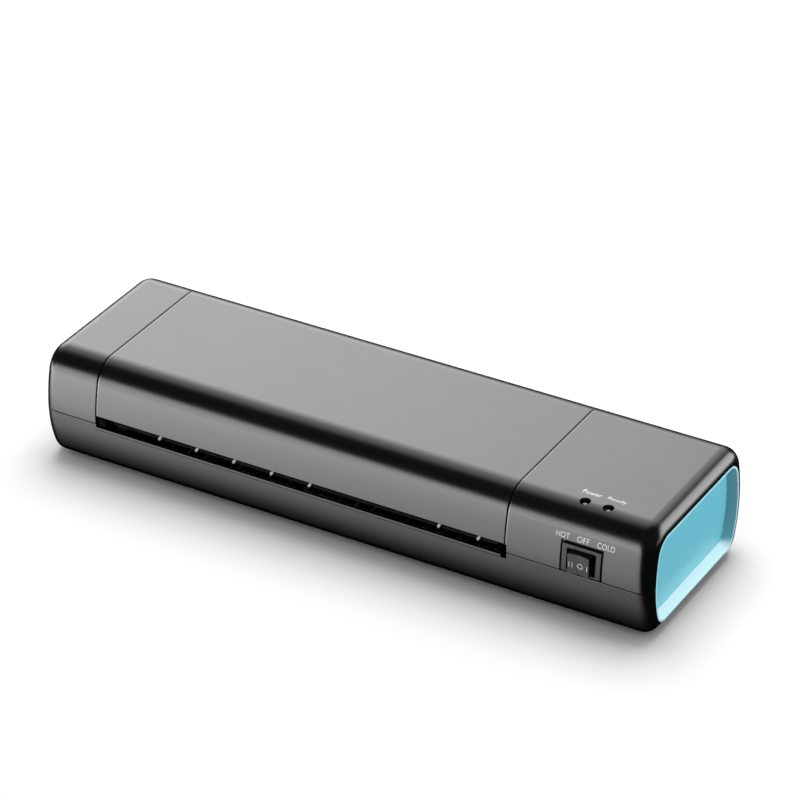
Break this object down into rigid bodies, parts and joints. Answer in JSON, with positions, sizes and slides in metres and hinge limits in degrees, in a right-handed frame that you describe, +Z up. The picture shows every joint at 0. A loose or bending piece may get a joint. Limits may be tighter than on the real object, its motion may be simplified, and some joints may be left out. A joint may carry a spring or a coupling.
{
  "type": "pouch laminator",
  "caption": "Desktop pouch laminator: long rounded black casing with a full-width slot, blue end caps, a rocker switch, indicator lamps and a sprung roller drive.",
  "frame": {"origin": "on the table plane, under the middle of the body (mid-length, mid-depth); the feet stand on z = 0", "axes": "+X along the body towards the switch end, -Y the pouch entry side, +Z up"},
  "size_m": [0.4848, 0.2399, 0.088],
  "materials": {
    "casing": "moulded gloss black",
    "cap_blue": "satin blue moulding",
    "inner_plastic": "matte black guide plastic",
    "switch_black": "gloss black switch moulding",
    "rubber_black": "soft black rubber",
    "cord_black": "black flexible sheath",
    "silicone": "heat resistant silicone rubber",
    "steel": "machined steel",
    "sheet_steel": "zinc plated sheet",
    "spring_steel": "spring steel",
    "aluminium": "extruded aluminium",
    "mica": "mica strip",
    "gear_plastic": "acetal",
    "bronze": "sintered bronze",
    "bakelite": "phenolic",
    "board_green": "circuit board laminate",
    "lamp_clear": "clear resin",
    "connector": "nylon",
    "wire": "insulated wire",
    "pin_metal": "nickel plated brass"
  },
  "bodies": {
    "frame": {"lower_housing": "casing", "centre_cover": "casing", "left_cover": "casing", "right_cover": "casing", "left_end_cap": "cap_blue", "right_end_cap": "cap_blue", "rubber_feet": "rubber_black", "housing_screws": "steel", "frame_screws": "steel", "plate_screws": "steel", "board_screws": "steel", "lower_entry_guide": "inner_plastic", "upper_entry_guide": "inner_plastic", "lower_exit_guide": "inner_plastic", "upper_exit_guide": "inner_plastic", "left_side_plate": "sheet_steel", "right_side_plate": "sheet_steel", "tie_rods": "steel", "tie_rod_nuts": "steel", "lower_roller_bushes": "bronze", "spring_caps": "gear_plastic", "idler_pin": "steel", "idler_clip": "spring_steel", "gear_motor": "sheet_steel", "motor_bracket": "sheet_steel", "lower_heater_plate": "aluminium", "upper_heater_plate": "aluminium", "heating_elements": "mica", "lower_heat_shield": "sheet_steel", "upper_heat_shield": "sheet_steel", "thermostats": "bakelite", "thermal_fuse": "steel", "switch_housing": "switch_black", "switch_terminals": "bronze", "power_lamp": "lamp_clear", "ready_lamp": "lamp_clear", "lamp_board": "board_green", "circuit_board": "board_green", "terminal_block": "connector", "capacitor": "bakelite", "wiring": "wire", "power_cord": "cord_black", "cord_grommet": "rubber_black", "plug_body": "cord_black", "plug_pins": "pin_metal"},
    "switch_rocker": {"switch_rocker": "switch_black"},
    "lower_roller": {"lower_roller_shaft": "steel", "lower_roller_sleeve": "silicone", "lower_roller_clips": "spring_steel", "lower_roller_gear": "gear_plastic"},
    "upper_carriage": {"upper_roller_bushes": "gear_plastic", "pressure_springs": "spring_steel"},
    "upper_roller": {"upper_roller_shaft": "steel", "upper_roller_sleeve": "silicone", "upper_roller_clips": "spring_steel", "upper_roller_gear": "gear_plastic"},
    "idler_gear": {"idler_gear": "gear_plastic"},
    "motor_drive": {"motor_shaft": "steel", "motor_pinion": "gear_plastic"}
  },
  "joints": [
    {"name": "mode_switch", "type": "hinge", "parent": "frame", "child": "switch_rocker", "pos_m": [0.191, -0.064, 0.052], "axis": [0, 0, 1], "range_deg": [-10, 10]},
    {"name": "lower_roller_spin", "type": "hinge", "parent": "frame", "child": "lower_roller", "pos_m": [0, 0.018, 0.0329], "axis": [1, 0, 0], "continuous": true},
    {"name": "upper_roller_lift", "type": "slide", "parent": "frame", "child": "upper_carriage", "axis": [0, 0, 1], "range_m": [0, 0.001], "deforming": ["pressure_springs"]},
    {"name": "upper_roller_spin", "type": "hinge", "parent": "upper_carriage", "child": "upper_roller", "pos_m": [0, 0.018, 0.0581], "axis": [1, 0, 0], "continuous": true},
    {"name": "idler_spin", "type": "hinge", "parent": "frame", "child": "idler_gear", "pos_m": [0.144, -0.0084, 0.0329], "axis": [1, 0, 0], "continuous": true},
    {"name": "motor_spin", "type": "hinge", "parent": "frame", "child": "motor_drive", "pos_m": [0.15, -0.03066, 0.0329], "axis": [1, 0, 0], "continuous": true}
  ],
  "couplings": [
    {"joint": "upper_roller_spin", "follows": "lower_roller_spin", "ratio": -1},
    {"joint": "idler_spin", "follows": "lower_roller_spin", "ratio": -0.9},
    {"joint": "motor_spin", "follows": "lower_roller_spin", "ratio": 1.5}
  ]
}
